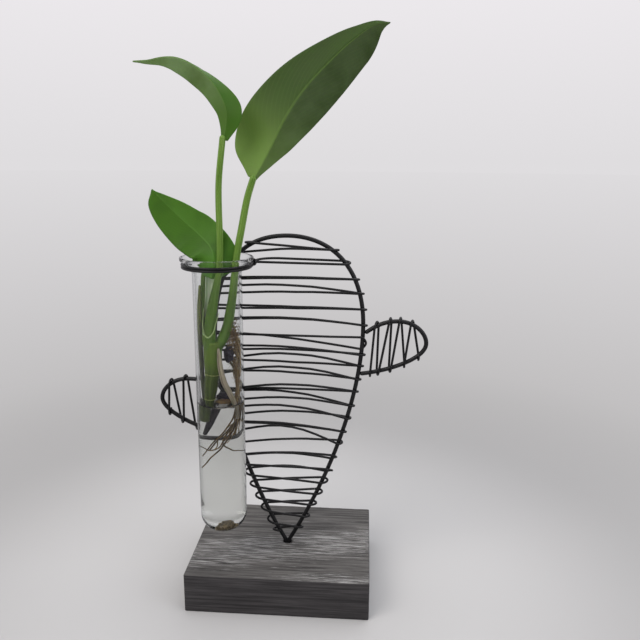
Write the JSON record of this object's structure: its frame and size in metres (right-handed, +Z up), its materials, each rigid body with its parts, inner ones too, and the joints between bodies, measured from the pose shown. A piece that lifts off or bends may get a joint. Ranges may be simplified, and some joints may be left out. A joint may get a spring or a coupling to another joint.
{
  "type": "hydroponic planter",
  "caption": "Leaf cutting rooting in a glass tube of water that hangs by a wire ring from a cactus-shaped wire frame on a small wooden block.",
  "frame": {"origin": "centre of the wooden block's underside", "axes": "+Z up along the hanging tube, +X to the right of the front view, +Y from the tube towards the frame and the back"},
  "size_m": [0.1478, 0.0787, 0.3018],
  "materials": {
    "stained_wood": "matte",
    "frame_wire": "satin",
    "winding_wire": "satin",
    "clear_glass": "polished",
    "water": "gloss",
    "stem": "matte",
    "petiole": "satin",
    "leaf": "satin",
    "pale_root": "matte",
    "brown_root": "matte"
  },
  "bodies": {
    "stand": {"wooden_block": "stained_wood", "body_outline_wire": "frame_wire", "right_arm_wire": "frame_wire", "right_arm_winding": "winding_wire", "left_arm_wire": "frame_wire", "left_arm_winding": "winding_wire", "body_winding_wire": "winding_wire", "tube_ring": "winding_wire"},
    "tube": {"glass_tube": "clear_glass", "water": "water", "root_litter": "brown_root"},
    "plant": {"main_stem": "stem", "big_leaf_petiole": "petiole", "left_leaf_petiole": "petiole", "leaf_sheath": "petiole", "big_leaf": "leaf", "left_leaf": "leaf", "low_leaf": "leaf", "aerial_root": "pale_root", "root_bundle": "brown_root", "trailing_roots": "brown_root"}
  },
  "joints": [
    {"name": "tube_lift", "type": "slide", "parent": "stand", "child": "tube", "axis": [0, 0, 1], "range_m": [0, 0.16]},
    {"name": "plant_lift", "type": "slide", "parent": "tube", "child": "plant", "axis": [0, 0, 1], "range_m": [0, 0.13], "deforming": ["water"]}
  ]
}
